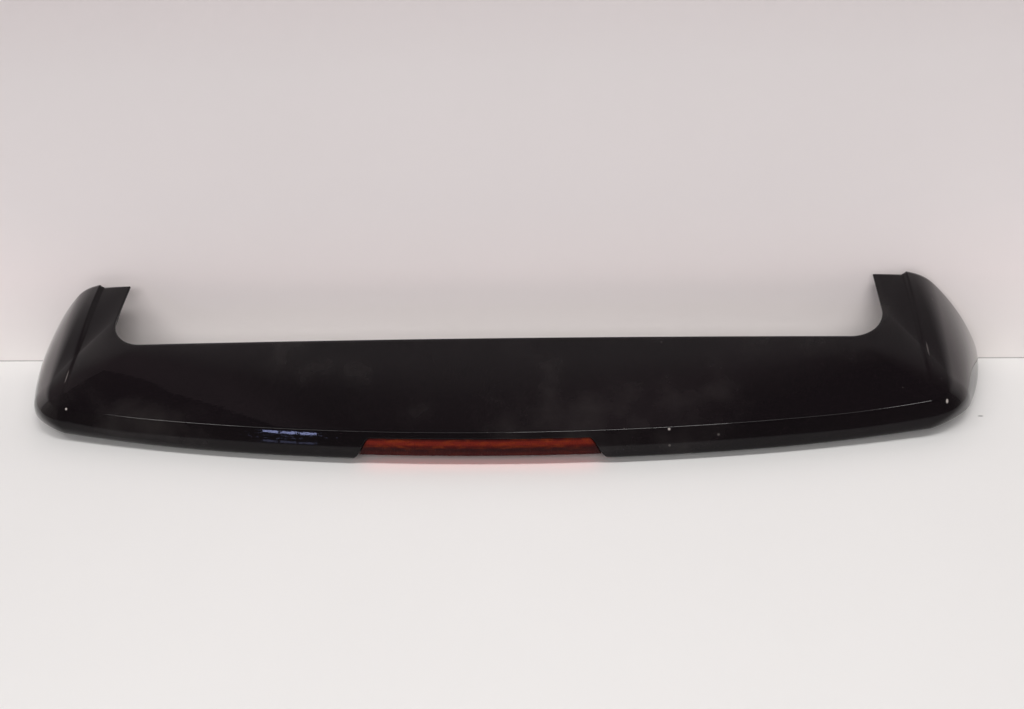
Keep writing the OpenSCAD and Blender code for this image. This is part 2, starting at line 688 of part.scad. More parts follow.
module stop_lamp_reflector() {
    half_h = (inner_high - inner_low) / 2 - fit;
    color("#c9cdd2")
        difference() {
            union() {
                span_box(board_w, reflector_y, reflector_back_y, inner_mid - half_h, inner_mid + half_h);
                for (side = [-1, 1])
                    along_y(side * (board_w - reflector_post_d / 2 - fit), reflector_back_y - past,
                            inner_mid, reflector_post_d, board_y - fit - reflector_back_y + past);
            }
            for (i = [0:led_count - 1])
                translate([led_x(i), reflector_y - past / 2, inner_mid])
                    rotate([-90, 0, 0])
                        cylinder(r1 = min(half_h, led_pitch / 2) - cup_rim, r2 = cup_throat,
                                 h = reflector_back_y - reflector_y + past);
        }
}
module stop_lamp_board() {
    color("#1f6b3a")
        span_box(board_w, board_y, board_y + board_t, inner_low + fit, inner_high - fit);
}
module stop_lamp_leds() {
    high = led_w * led_shape;
    color("#e8e2c8")
        for (i = [0:led_count - 1])
            translate([led_x(i) - led_w / 2, board_y - led_h, inner_mid - high / 2])
                cube([led_w, led_h, high]);
}
module stop_lamp_resistors() {
    color("#303236")
        for (i = [0:led_count / 2 - 1])
            translate([led_x(2 * i) + resistor.x, board_y + board_t, inner_low + 2 * resistor.z])
                cube(resistor);
}
module stop_lamp_contacts() {
    color("#c8a860")
        for (side = [-0.5, 0.5])
            along_y(socket_x + side * contact_pitch, board_y + board_t, inner_mid, contact_d,
                    socket_y - contact_inset - board_y - board_t);
}
module stop_lamp_vent() {
    color("#e6e6e6")
        along_y(-socket_x, lamp_back_y, inner_mid, vent_d, vent_t);
}
module stop_lamp_seal() {
    low = lens_top_z - edge_round - lens_gap + fit;
    function high(y) = below_sheet(0, 1 - y / plate_y, skin + 2 * fit).z;
    color("#2c2e31")
        around_rear([[rear_r - lamp_seal_y.x, low], [rear_r - lamp_seal_y.x, high(lamp_seal_y.x)],
                     [rear_r - lamp_seal_y.y, high(lamp_seal_y.y)], [rear_r - lamp_seal_y.y, low]],
                    lens_top_w - lamp_seal_margin);
}
module stop_lamp_screws() {
    z = shelf_top - lower_wall - fit;
    color("#8d9094")
        for (side = [-1, 1])
            translate([side * screw_x, screw_y, 0])
                difference() {
                    union() {
                        translate([0, 0, z - screw_head_h])
                            cylinder(d = lamp_screw_d * 2, h = screw_head_h);
                        translate([0, 0, z - past / 2])
                            cylinder(d = lamp_screw_d, h = inner_low + screw_grip + past / 2 - z);
                    }
                    translate([0, 0, z - screw_head_h - past])
                        cylinder(d = hex_d, h = hex_h + past, $fn = 6);
                }
}

// Fixings below the mounting land
function washer_low(t) = boss_low(t, boss_d) - fit - washer_t;
module mounting_studs() {
    color("#b9bcc0")
        at_spots(STUD_T) {
            top = boss_high($t_spot, boss_d) + fit;
            low = boss_low($t_spot, boss_d) - stud_len;
            shoulder = washer_low($t_spot);
            translate([0, 0, top])
                cylinder(d = stud_head_d, h = stud_head_h);
            translate([0, 0, shoulder])
                cylinder(d = stud_shoulder_d, h = top + stud_head_h / 2 - shoulder);
            translate([0, 0, low + stud_tip_h])
                cylinder(d = stud_d, h = shoulder + stud_head_h / 2 - low - stud_tip_h);
            translate([0, 0, low])
                cylinder(d1 = stud_d - 2 * stud_tip_h, d2 = stud_d, h = stud_tip_h);
        }
}
module stud_washers() {
    color("#303235")
        at_spots(STUD_T)
            translate([0, 0, washer_low($t_spot)])
                difference() {
                    cylinder(d = boss_d - 2, h = washer_t);
                    translate([0, 0, -past])
                        cylinder(d = stud_shoulder_d + 2 * fit, h = washer_t + 2 * past);
                }
}
module clip_neck(low) {
    translate([0, 0, low - clip_flange_t / 2])
        cylinder(d = clip_neck_d, h = clip_neck_h + clip_flange_t / 2);
}
module retaining_clips() {
    color("#e4e0d2")
        at_spots(CLIP_T) {
            low = boss_low($t_spot, small_boss_d) - fit;
            tip = low - clip_len;
            clip_neck(low);
            translate([0, 0, low - clip_flange_t])
                cylinder(d = small_boss_d, h = clip_flange_t);
            translate([0, 0, tip + clip_tip_h])
                cylinder(d = clip_d, h = clip_len - clip_tip_h - clip_flange_t / 2);
            translate([0, 0, tip])
                cylinder(d1 = clip_d / 2, d2 = clip_d, h = clip_tip_h);
            for (i = [0:2])
                translate([0, 0, tip + (i + 1) * clip_barb.z])
                    cylinder(d1 = clip_d, d2 = clip_d + 2 * clip_barb.y, h = clip_barb.x);
        }
}
module buffer(side) {
    low = boss_low(BUFFER_T, small_boss_d) - fit;
    color("#141414")
        translate([side * land_spot(BUFFER_T).x, land_spot(BUFFER_T).y, 0]) {
            clip_neck(low);
            translate([0, 0, low - buffer_h])
                cylinder(d1 = small_boss_d - 4, d2 = small_boss_d, h = buffer_h);
        }
}
module buffer_left() { buffer(-1); }
module buffer_right() { buffer(1); }

module placed() {
    translate([0, -mid_y, 0])
        children();
}
placed() upper_shell();
placed() lower_shell();
placed() wing_cover_left();
placed() wing_cover_right();
placed() bond_bead_front();
placed() bond_bead_left();
placed() bond_bead_right();
placed() bond_bead_rear();
placed() edge_seal();
placed() end_cap_left();
placed() end_cap_right();
placed() stop_lamp_lens();
placed() stop_lamp_housing();
placed() stop_lamp_reflector();
placed() stop_lamp_board();
placed() stop_lamp_leds();
placed() stop_lamp_resistors();
placed() stop_lamp_contacts();
placed() stop_lamp_vent();
placed() stop_lamp_seal();
placed() stop_lamp_screws();
placed() mounting_studs();
placed() stud_washers();
placed() retaining_clips();
placed() buffer_left();
placed() buffer_right();
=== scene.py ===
# Looks of the tailgate spoiler: its surfaces, finishes, floor, wall, light and camera.
import math

import bpy
import numpy as np
from mathutils import Matrix, Vector


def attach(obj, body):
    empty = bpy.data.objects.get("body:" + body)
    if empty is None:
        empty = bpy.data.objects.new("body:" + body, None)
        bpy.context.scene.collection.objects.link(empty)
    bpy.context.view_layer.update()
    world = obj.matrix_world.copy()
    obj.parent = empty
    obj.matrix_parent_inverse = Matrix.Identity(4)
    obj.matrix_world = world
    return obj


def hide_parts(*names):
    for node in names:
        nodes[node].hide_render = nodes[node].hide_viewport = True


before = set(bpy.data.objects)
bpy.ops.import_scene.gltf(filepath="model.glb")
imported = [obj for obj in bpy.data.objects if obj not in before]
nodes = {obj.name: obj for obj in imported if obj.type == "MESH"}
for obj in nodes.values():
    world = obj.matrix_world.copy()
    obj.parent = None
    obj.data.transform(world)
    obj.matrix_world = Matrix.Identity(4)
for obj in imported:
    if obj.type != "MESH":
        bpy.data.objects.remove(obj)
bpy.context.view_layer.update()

MM = 0.001

# Sizes of the painted shell in millimetres, the same as in the part's source
REAR_R = 2380
CREASE_Z = 42.3
LIP_Z = 10.3
FACE_LEAN = 6
FACE_BULGE = 1.75
FACE_BEND = 0.75
FACE_TIGHT = 3
FACE_REACH = 0.6
CREASE_ROUND = 2
CORNER_X = 511
CREASE_CORNER_R = 36
LIP_CORNER_R = 84
FLANK_HEADING = 63.5
FLANK_R = 520
FLANK_BULGE = 7
FLANK_LIFT = 11
SHOULDER_ROUND = 14
FRONT_Y = 232
PLATE_Y = 133
PLATE_Z = 93.5
PLATE_CROWN = 3.5
TIP_Z = 124.5
TIP_REACH = 3
SHOULDER_Z = 122.5
CUTOUT_W = 478
CUTOUT_R = 45
PLATE_BULGE = 0.5
CORNER_BULGE = 3.5
STRIP_X = 512
STRIP_H = 4.5
STRIP_W = 5
RISE_Y = 35
RISE_POWER = 1.6
RISE_FADE = 0.9
STRIP_FADE_Y = 62
SKIN = 3
LENS_TOP_W = 125
LENS_FLARE = 21
LENS_TOP_Z = 36
LENS_RECESS = 0.8
EDGE_ROUND = 1
MID_Y = (FRONT_Y + TIP_REACH + EDGE_ROUND - FACE_LEAN - FACE_REACH * FACE_BULGE + LENS_RECESS) / 2
CORNER_HEADING = math.degrees(math.asin(CORNER_X / REAR_R))

# Samples of the shown shell: along half of the outline, and across it
ALONG = {"lamp": 24, "lamp_end": 24, "rear": 60, "corner": 60, "wing": 56}
ACROSS = {"sheet": 26, "step": 8, "strip": 6, "round": 10, "face": 18}
EDGE_STEPS = 6


# Shape of the painted shell, for arrays of t along the outline

def lerp(a, b, k):
    return a + (b - a) * k


def ease(k):
    c = np.clip(k, 0, 1)
    return c * c * (3 - 2 * c)


def sind(a):
    return np.sin(np.radians(a))


def cosd(a):
    return np.cos(np.radians(a))


def arc(start, heading, radius, to):
    return start[0] + radius * (sind(to) - sind(heading)), start[1] + radius * (cosd(heading) - cosd(to))


def edge_plan(t):
    straight = t * (CUTOUT_W - CUTOUT_R), np.full_like(t, PLATE_Y)
    corner = arc((CUTOUT_W - CUTOUT_R, PLATE_Y), 0, CUTOUT_R, 90 * (t - 1))
    wing = np.full_like(t, CUTOUT_W), lerp(PLATE_Y + CUTOUT_R, FRONT_Y + TIP_REACH, t - 2)
    return by_stretch(t, straight, corner, wing)


def by_stretch(t, first, second, third):
    return tuple(np.where(t <= 1, a, np.where(t <= 2, b, c)) for a, b, c in zip(first, second, third))


def rear_arc(t, radius):
    heading = CORNER_HEADING * np.minimum(t, 1)
    return radius * sind(heading), REAR_R - radius * cosd(heading)


def crease_plan(t):
    rear = rear_arc(t, REAR_R)
    corner = arc(rear_arc(1, REAR_R), CORNER_HEADING, CREASE_CORNER_R, lerp(CORNER_HEADING, 90, t - 1))
    end = arc(rear_arc(1, REAR_R), CORNER_HEADING, CREASE_CORNER_R, 90)
    wing = np.full_like(t, end[0]), lerp(end[1], FRONT_Y, t - 2)
    return by_stretch(t, rear, corner, wing)


def lip_corner_end():
    return arc(rear_arc(1, REAR_R + FACE_LEAN), CORNER_HEADING, LIP_CORNER_R, FLANK_HEADING)


def lip_heading(t):
    y0 = lip_corner_end()[1]
    y = lerp(y0, FRONT_Y, np.maximum(t, 2) - 2)
    flank = np.degrees(np.arccos(cosd(FLANK_HEADING) - (y - y0) / FLANK_R))
    return np.where(t <= 1, CORNER_HEADING * t, np.where(t <= 2, lerp(CORNER_HEADING, FLANK_HEADING, t - 1), flank))


def lip_plan(t):
    rear = rear_arc(t, REAR_R + FACE_LEAN)
    heading = lip_heading(t)
    corner = arc(rear_arc(1, REAR_R + FACE_LEAN), CORNER_HEADING, LIP_CORNER_R, heading)
    wing = arc(lip_corner_end(), FLANK_HEADING, FLANK_R, heading)
    return by_stretch(t, rear, corner, wing)


def points(plan, height):
    return np.stack([plan[0], plan[1], height], -1)


def edge_point(t):
    x, y = edge_plan(t)
    rise = (TIP_Z - PLATE_Z + PLATE_CROWN) * (y - PLATE_Y) / (FRONT_Y + TIP_REACH - PLATE_Y)
    return points((x, y), PLATE_Z - PLATE_CROWN * (x / CUTOUT_W) ** 2 + rise)


def crease_point(t):
    plan = crease_plan(t)
    w = np.clip((plan[1] - RISE_Y) / (FRONT_Y - RISE_Y), 0, 1)
    return points(plan, CREASE_Z + (SHOULDER_Z - CREASE_Z) * w ** RISE_POWER * (1 + RISE_FADE - RISE_FADE * w))


def lip_point(t):
    return points(lip_plan(t), LIP_Z + FLANK_LIFT * ease(t - 0.6))


def sheet_bulge(t):
    return np.where(t < 1, lerp(PLATE_BULGE, CORNER_BULGE, ease(t)), lerp(CORNER_BULGE, PLATE_BULGE, flank_share(t)))


def strip_shares(t):
    """Where the step begins and ends between the inner edge and the crease."""
    inner = edge_plan(t)[0]
    width = crease_plan(t)[0] - inner
    width = np.where(np.abs(width) < 1e-6, 1e-6, width)
    begin = np.where(width > 0, np.minimum(0.9, (STRIP_X - inner) / width), 0.9)
    return begin, begin + np.minimum(np.where(width > 0, STRIP_W / width, 1), 0.5 * (1 - begin))


def strip_rise(t, f):
    begin, end = strip_shares(t)
    y = lerp(edge_plan(t)[1], crease_plan(t)[1], begin)
    full = STRIP_H * ease((y - STRIP_FADE_Y) / (FRONT_Y - STRIP_FADE_Y))
    rise = np.where(f < end, full * ease((f - begin) / (end - begin)), full * (1 - f) / (1 - end))
    return np.where((t < 1) | (f <= begin), 0, rise)


def sheet_point(t, f):
    p = lerp(edge_point(t), crease_point(t), f[..., None])
    p[..., 2] += sheet_bulge(t) * 4 * f * (1 - f) + strip_rise(t, f)
    return p


def unit(v):
    return v / np.linalg.norm(v, axis=-1, keepdims=True)


def flank_share(t):
    return ease((t - 1) / 2)


def face_control(t):
    crease, lip, heading = crease_point(t), lip_point(t), lip_heading(t)
    along = np.stack([cosd(heading), sind(heading), np.zeros_like(heading)], -1)
    swell = lerp(FACE_BULGE, FLANK_BULGE, flank_share(t))[..., None]
    bend = lerp(FACE_BEND, 0.5, flank_share(t))[..., None]
    return lerp(crease, lip, bend) + 2 * swell * unit(np.cross(lip - crease, along))


def face_weight(t):
    return lerp(FACE_TIGHT, 1, flank_share(t))


def face_point(t, u):
    u = u[..., None]
    weight = 2 * face_weight(t)[..., None] * u * (1 - u)
    top, low = (1 - u) ** 2, u ** 2
    return (top * crease_point(t) + weight * face_control(t) + low * lip_point(t)) / (top + weight + low)


def face_end(t):
    """How far down the face runs: to the lip, or to the top of the lens."""
    x = crease_plan(t)[0]
    z = lerp(LENS_TOP_Z, LIP_Z, ease((np.abs(x) - LENS_TOP_W) / LENS_FLARE))
    b = crease_point(t)[..., 2] - z
    m = face_weight(t) * (face_control(t)[..., 2] - z)
    k = b - 2 * m + lip_point(t)[..., 2] - z
    near = np.abs(k) < 0.001
    root = np.sqrt(np.maximum((m - b) ** 2 - k * b, 0))
    at_z = np.where(near, b / np.where(near, 2 * (b - m), 1), (b - m - root) / np.where(near, 1, k))
    return np.where(x >= LENS_TOP_W + LENS_FLARE, 1, np.minimum(1, at_z))


def section_grid(t):
    """Points of the painted surface, one row for each t, from the inner edge over the crease to the lip."""
    t = t[:, None]
    begin, end = strip_shares(t)
    length = lerp(CREASE_ROUND, SHOULDER_ROUND, ease((t - 1.2) / 1.8))
    reach = np.linalg.norm(crease_point(t) - edge_point(t), axis=-1)
    last = 1 - length / reach
    begin, end = np.minimum(begin, last - 0.02), np.minimum(end, last - 0.01)
    steps = {name: np.arange(count)[None] / count for name, count in ACROSS.items()}
    shares = np.concatenate([begin * steps["sheet"], lerp(begin, end, steps["step"]),
                             lerp(end, last, steps["strip"])], 1)
    crease = crease_point(t)
    leave = length / (2 * face_weight(t) * np.linalg.norm(face_control(t) - crease, axis=-1))
    start, finish = sheet_point(t, last), face_point(t, leave)
    k = steps["round"][..., None]
    rounding = (1 - k) ** 2 * start + 2 * k * (1 - k) * crease + k ** 2 * finish
    face_steps = np.arange(ACROSS["face"] + 1)[None] / ACROSS["face"]
    face = face_point(t + 0 * face_steps, lerp(leave, face_end(t), face_steps))
    return np.concatenate([sheet_point(t + 0 * shares, shares), rounding, face], 1)


def half_stations():
    ends = [0, LENS_TOP_W / CORNER_X, (LENS_TOP_W + LENS_FLARE) / CORNER_X, 1, 2, 3]
    parts = [np.linspace(a, b, count, endpoint=False) for a, b, count in zip(ends, ends[1:], ALONG.values())]
    return np.concatenate(parts + [np.array([3.0])])


def both_sides(half):
    mirrored = half[:0:-1] * np.array([-1, 1, 1])
    return np.concatenate([mirrored, half])


def grid_normals(grid):
    return unit(np.cross(np.gradient(grid, axis=1), np.gradient(grid, axis=0)))


# Mesh helpers

def mesh_object(name, vertices, faces, smooth=True):
    mesh = bpy.data.meshes.new(name)
    mesh.from_pydata([tuple(v) for v in vertices], [], [tuple(f) for f in faces])
    mesh.update()
    if smooth:
        mesh.shade_smooth()
    piece = bpy.data.objects.new(name, mesh)
    bpy.context.scene.collection.objects.link(piece)
    return piece


def placed(grid):
    """Millimetres of the drawing to metres of the frame."""
    return (grid - np.array([0, MID_Y, 0])) * MM


def closed_strip(loops):
    """Quads around a row of closed loops, and a band over each end."""
    count, size = loops.shape[:2]
    index = np.arange(count * size).reshape(count, size)
    a, b = index[:-1], index[1:]
    quads = np.stack([a, np.roll(a, -1, 1), np.roll(b, -1, 1), b], -1).reshape(-1, 4)
    half = size // 2
    first, last = index[0], index[-1]
    caps = [(first[j], first[size - 1 - j], first[size - 2 - j], first[j + 1]) for j in range(half - 1)]
    caps += [(last[j], last[j + 1], last[size - 2 - j], last[size - 1 - j]) for j in range(half - 1)]
    return loops.reshape(-1, 3), [*quads, *caps]


def rounded_edge(top, bottom, outward):
    """Points of a half circle from the top row to the bottom row."""
    middle, radius = (top + bottom) / 2, (top - bottom) / 2
    angles = np.linspace(0, math.pi, EDGE_STEPS + 2)[1:-1]
    return np.stack([middle + radius * math.cos(a) + outward * math.sin(a) for a in angles], 1)


def build_upper_shell():
    outer = both_sides(section_grid(half_stations()))
    inner = outer - SKIN * grid_normals(outer)
    front = EDGE_ROUND * unit(outer[:, 0] - outer[:, 1])
    lip = EDGE_ROUND * unit(outer[:, -1] - outer[:, -2])
    loops = np.concatenate([
        outer,
        rounded_edge(outer[:, -1], inner[:, -1], lip),
        inner[:, ::-1],
        rounded_edge(inner[:, 0], outer[:, 0], front),
    ], 1)
    return mesh_object("painted_shell", *closed_strip(placed(loops)))


# Materials

def new_material(name):
    material = bpy.data.materials.new(name)
    material.use_nodes = True
    tree = material.node_tree
    return material, tree, tree.nodes["Principled BSDF"]


def add(tree, kind, **settings):
    node = tree.nodes.new(kind)
    for key, value in settings.items():
        if key in node.inputs:
            node.inputs[key].default_value = value
        else:
            setattr(node, key, value)
    return node


def calc(tree, operation, *values):
    node = add(tree, "ShaderNodeMath", operation=operation)
    for socket, value in zip(node.inputs, values):
        if isinstance(value, (int, float)):
            socket.default_value = value
        else:
            tree.links.new(value, socket)
    return node.outputs[0]


def coordinates(tree, output="Object"):
    found = next((n for n in tree.nodes if n.bl_idname == "ShaderNodeTexCoord"), None)
    return (found or add(tree, "ShaderNodeTexCoord")).outputs[output]


def axes(tree, output="Object"):
    split = add(tree, "ShaderNodeSeparateXYZ")
    tree.links.new(coordinates(tree, output), split.inputs[0])
    return split.outputs


def stretched(tree, scale):
    """Object coordinates scaled along each axis."""
    node = add(tree, "ShaderNodeMapping", Scale=scale)
    tree.links.new(coordinates(tree), node.inputs["Vector"])
    return node.outputs["Vector"]


def noise(tree, scale, detail=3.0, source=None):
    node = add(tree, "ShaderNodeTexNoise", Scale=scale, Detail=detail)
    tree.links.new(source or coordinates(tree), node.inputs["Vector"])
    return node.outputs["Fac"]


def cells(tree, scale, source=None):
    node = add(tree, "ShaderNodeTexVoronoi", Scale=scale)
    tree.links.new(source or coordinates(tree), node.inputs["Vector"])
    return node.outputs["Distance"], node.outputs["Color"]


def ramp(tree, source, stops):
    node = add(tree, "ShaderNodeValToRGB")
    elements = node.color_ramp.elements
    for extra in stops[2:]:
        elements.new(extra[0])
    for element, (position, colour) in zip(elements, stops):
        element.position = position
        element.color = (*colour, 1) if isinstance(colour, tuple) else (colour, colour, colour, 1)
    tree.links.new(source, node.inputs["Fac"])
    return node.outputs["Color"]


def span(tree, source, low, high, to_low=0.0, to_high=1.0):
    """Smooth rise from to_low to to_high while source goes from low to high."""
    node = add(tree, "ShaderNodeMapRange", interpolation_type="SMOOTHSTEP")
    tree.links.new(source, node.inputs["Value"])
    for name, value in zip(("From Min", "From Max", "To Min", "To Max"), (low, high, to_low, to_high)):
        if isinstance(value, (int, float)):
            node.inputs[name].default_value = value
        else:
            tree.links.new(value, node.inputs[name])
    return node.outputs["Result"]


def blend_colours(tree, factor, first, second, kind="MIX"):
    node = add(tree, "ShaderNodeMix", data_type="RGBA", blend_type=kind)
    sockets = [socket for socket in node.inputs if socket.type == "RGBA"]
    if isinstance(factor, (int, float)):
        node.inputs["Factor"].default_value = factor
    else:
        tree.links.new(factor, node.inputs["Factor"])
    for socket, value in zip(sockets, (first, second)):
        if isinstance(value, tuple):
            socket.default_value = (*value, 1)
        else:
            tree.links.new(value, socket)
    return next(socket for socket in node.outputs if socket.type == "RGBA")


def bump(tree, source, strength, distance, below=None):
    node = add(tree, "ShaderNodeBump", Strength=strength, Distance=distance)
    tree.links.new(source, node.inputs["Height"])
    if below is not None:
        tree.links.new(below, node.inputs["Normal"])
    return node.outputs["Normal"]


def near_point(tree, place, radius, stretch=(1, 1, 1)):
    """1 at a place in millimetres of the frame, fading to 0 at the radius."""
    shift = add(tree, "ShaderNodeVectorMath", operation="SUBTRACT")
    tree.links.new(coordinates(tree), shift.inputs[0])
    shift.inputs[1].default_value = [c * MM for c in place]
    scale = add(tree, "ShaderNodeVectorMath", operation="MULTIPLY")
    tree.links.new(shift.outputs[0], scale.inputs[0])
    scale.inputs[1].default_value = stretch
    length = add(tree, "ShaderNodeVectorMath", operation="LENGTH")
    tree.links.new(scale.outputs[0], length.inputs[0])
    return span(tree, length.outputs["Value"], radius * 0.4 * MM, radius * MM, 1.0, 0.0)


def gloss_paint():
    material, tree, shader = new_material("gloss_black_paint")
    colour = ramp(tree, noise(tree, 6, 2), [(0.35, PAINT_DARK), (0.7, PAINT_LIGHT)])
    flake = cells(tree, 3200)[1]
    split = add(tree, "ShaderNodeSeparateColor")
    tree.links.new(flake, split.inputs[0])
    sparkle = span(tree, split.outputs[0], 0.9, 1.0, 0.0, 0.5)
    colour = blend_colours(tree, sparkle, colour, (0.03, 0.016, 0.022))
    # dust: a sparse scatter of specks, thicker in soft patches
    distance, pick = cells(tree, 85)
    chosen = add(tree, "ShaderNodeSeparateColor")
    tree.links.new(pick, chosen.inputs[0])
    size = span(tree, chosen.outputs[0], 0.82, 1.0, 0.0, 0.05)
    speck = calc(tree, "LESS_THAN", distance, size)
    haze = calc(tree, "MULTIPLY", span(tree, noise(tree, 11, 5), 0.5, 0.8), 0.03)
    dust_and_glints = calc(tree, "MAXIMUM", calc(tree, "MULTIPLY", speck, 0.35), haze)
    # the listed marks join in: painted highlights on the rear corners, pale spots and scratches
    for place, radius, strength, stretch in MARKS_AND_GLINTS:
        mark = calc(tree, "MULTIPLY", near_point(tree, place, radius, stretch), strength)
        dust_and_glints = calc(tree, "MAXIMUM", dust_and_glints, mark)
    # dust, painted glints and marks, all in one pale colour
    colour = blend_colours(tree, dust_and_glints, colour, (0.42, 0.38, 0.36))
    tree.links.new(colour, shader.inputs["Base Color"])
    roughness = span(tree, noise(tree, 25, 4), 0.3, 0.8, 0.3, 0.42)
    tree.links.new(roughness, shader.inputs["Roughness"])
    shader.inputs["Specular IOR Level"].default_value = 0.0
    # the coat is weak face on and full at a grazing angle
    facing = add(tree, "ShaderNodeLayerWeight", Blend=0.5).outputs["Facing"]
    tree.links.new(span(tree, facing, 0.27, 0.62, 0.3, 1.0), shader.inputs["Coat Weight"])
    shader.inputs["Coat Roughness"].default_value = 0.02
    shader.inputs["Coat IOR"].default_value = 1.6
    # orange peel under everything, and hairline wiping scratches
    peel = bump(tree, noise(tree, 160, 2), 0.25, 0.00008)
    waves = bump(tree, noise(tree, 9, 1), 1.0, 0.00025, peel)
    hair = noise(tree, 40, 2, stretched(tree, (1.5, 30, 30)))
    scratches = bump(tree, span(tree, hair, 0.62, 0.66), 0.12, 0.00003, waves)
    tree.links.new(scratches, shader.inputs["Coat Normal"])
    return material


def grained_plastic(name, colour, roughness, grain, depth):
    """Moulded plastic with a leather grain and slightly paler wear on its high places."""
    material, tree, shader = new_material(name)
    distance = cells(tree, grain)[0]
    patches = noise(tree, 18, 4)
    tint = ramp(tree, patches, [(0.3, tuple(c * 0.8 for c in colour)), (0.7, tuple(c * 1.25 for c in colour))])
    pale = calc(tree, "MULTIPLY", span(tree, distance, 0.45, 0.1), 0.06)
    tree.links.new(blend_colours(tree, pale, tint, (0.25, 0.24, 0.23)), shader.inputs["Base Color"])
    tree.links.new(span(tree, patches, 0.25, 0.75, roughness - 0.08, roughness + 0.08), shader.inputs["Roughness"])
    fine = bump(tree, noise(tree, grain * 2.2, 2), 0.4, depth * 0.5)
    tree.links.new(bump(tree, distance, 0.6, depth, fine), shader.inputs["Normal"])
    return material


def plain_plastic(name, colour, roughness, grain=900, depth=0.00005):
    material, tree, shader = new_material(name)
    tint = ramp(tree, noise(tree, 40, 3), [(0.3, tuple(c * 0.8 for c in colour)), (0.7, tuple(c * 1.2 for c in colour))])
    tree.links.new(tint, shader.inputs["Base Color"])
    tree.links.new(span(tree, noise(tree, 70, 3), 0.3, 0.7, roughness * 0.85, roughness * 1.15), shader.inputs["Roughness"])
    tree.links.new(bump(tree, noise(tree, grain, 2), 0.6, depth), shader.inputs["Normal"])
    return material


def red_lens():
    material, tree, shader = new_material("red_lens")
    x, y, z = axes(tree)
    # painted light and shade in bands by height: dark rims, a shaded lower band and lit upper bands
    share = span(tree, z, 0.015, 0.0345)
    colour = ramp(tree, share, [(0.0, LENS_DARK), (0.12, LENS_DARK), (0.25, LENS_SHADED_BAND), (0.42, LENS_SHADED_BAND),
                                (0.64, LENS_LIT_BAND), (0.78, LENS_TOP), (0.94, LENS_TOP), (1.0, LENS_DARK)])
    # painted light: a bright mottle, strongest in the lit upper bands
    mottle = span(tree, noise(tree, 220, 4, stretched(tree, (0.3, 1, 1.3))), 0.42, 0.72)
    mottle = calc(tree, "MULTIPLY", mottle, span(tree, share, 0.3, 0.65, 0.08, 0.4))
    colour = blend_colours(tree, mottle, colour, (0.21, 0.035, 0.006))
    distance, pick = cells(tree, 420)
    dots = calc(tree, "MULTIPLY", span(tree, distance, 0.28, 0.12), 0.45)
    colour = blend_colours(tree, dots, colour, (0.012, 0.003, 0.003))
    # the lens darkens where its ends run out behind the painted face
    ends = span(tree, calc(tree, "ABSOLUTE", x), 0.124, 0.137, 0.0, 0.92)
    tree.links.new(blend_colours(tree, ends, colour, (0.02, 0.004, 0.004)), shader.inputs["Base Color"])
    ribs = calc(tree, "SINE", calc(tree, "MULTIPLY", x, 2 * math.pi / 0.0028))
    tree.links.new(bump(tree, ribs, 0.35, 0.00025, bump(tree, distance, 0.4, 0.0004)), shader.inputs["Normal"])
    shader.inputs["Roughness"].default_value = 0.3
    shader.inputs["Specular IOR Level"].default_value = 0.05
    shader.inputs["Coat Weight"].default_value = 0.12
    shader.inputs["Coat Roughness"].default_value = 0.03
    return material


def metal(name, colour, roughness):
    material, tree, shader = new_material(name)
    tint = ramp(tree, noise(tree, 300, 3), [(0.3, tuple(c * 0.85 for c in colour)), (0.7, colour)])
    tree.links.new(tint, shader.inputs["Base Color"])
    shader.inputs["Metallic"].default_value = 1.0
    tree.links.new(span(tree, noise(tree, 500, 2), 0.3, 0.7, roughness * 0.8, roughness * 1.25), shader.inputs["Roughness"])
    tree.links.new(bump(tree, noise(tree, 900, 2), 0.3, 0.00004), shader.inputs["Normal"])
    return material


def smooth_by_angle():
    """Joins the facets of a CAD node and smooths every edge flatter than 30 degrees."""
    group = bpy.data.node_groups.new("smooth_by_angle", "GeometryNodeTree")
    for way in ("INPUT", "OUTPUT"):
        group.interface.new_socket("Geometry", in_out=way, socket_type="NodeSocketGeometry")
    merge = add(group, "GeometryNodeMergeByDistance", Distance=1e-6)
    angle = add(group, "GeometryNodeInputMeshEdgeAngle")
    flat = add(group, "FunctionNodeCompare", data_type="FLOAT", operation="LESS_THAN")
    flat.inputs[1].default_value = math.radians(30)
    faces = add(group, "GeometryNodeSetShadeSmooth", domain="FACE")
    edges = add(group, "GeometryNodeSetShadeSmooth", domain="EDGE")
    chain = [add(group, "NodeGroupInput"), merge, faces, edges, add(group, "NodeGroupOutput")]
    for first, second in zip(chain, chain[1:]):
        group.links.new(first.outputs[0], second.inputs[0])
    group.links.new(angle.outputs["Unsigned Angle"], flat.inputs[0])
    group.links.new(flat.outputs[0], edges.inputs["Shade Smooth"])
    return group


SMOOTH = smooth_by_angle()


def give(node_name, material):
    piece = nodes[node_name]
    piece.data.materials.clear()
    piece.data.materials.append(material)
    piece.modifiers.new("smooth", "NODES").node_group = SMOOTH


PAINT_DARK = (0.0036, 0.0028, 0.0034)
PAINT_LIGHT = (0.0050, 0.0036, 0.0044)
# Lens colours from low to high, with painted light and shade: a dark rim, a shaded lower band, and two lit bands
# where the optics catch light through the lens
LENS_DARK = (0.036, 0.0045, 0.0045)
LENS_SHADED_BAND = (0.021, 0.0034, 0.0038)
LENS_LIT_BAND = (0.058, 0.0060, 0.0045)
LENS_TOP = (0.118, 0.0125, 0.0075)
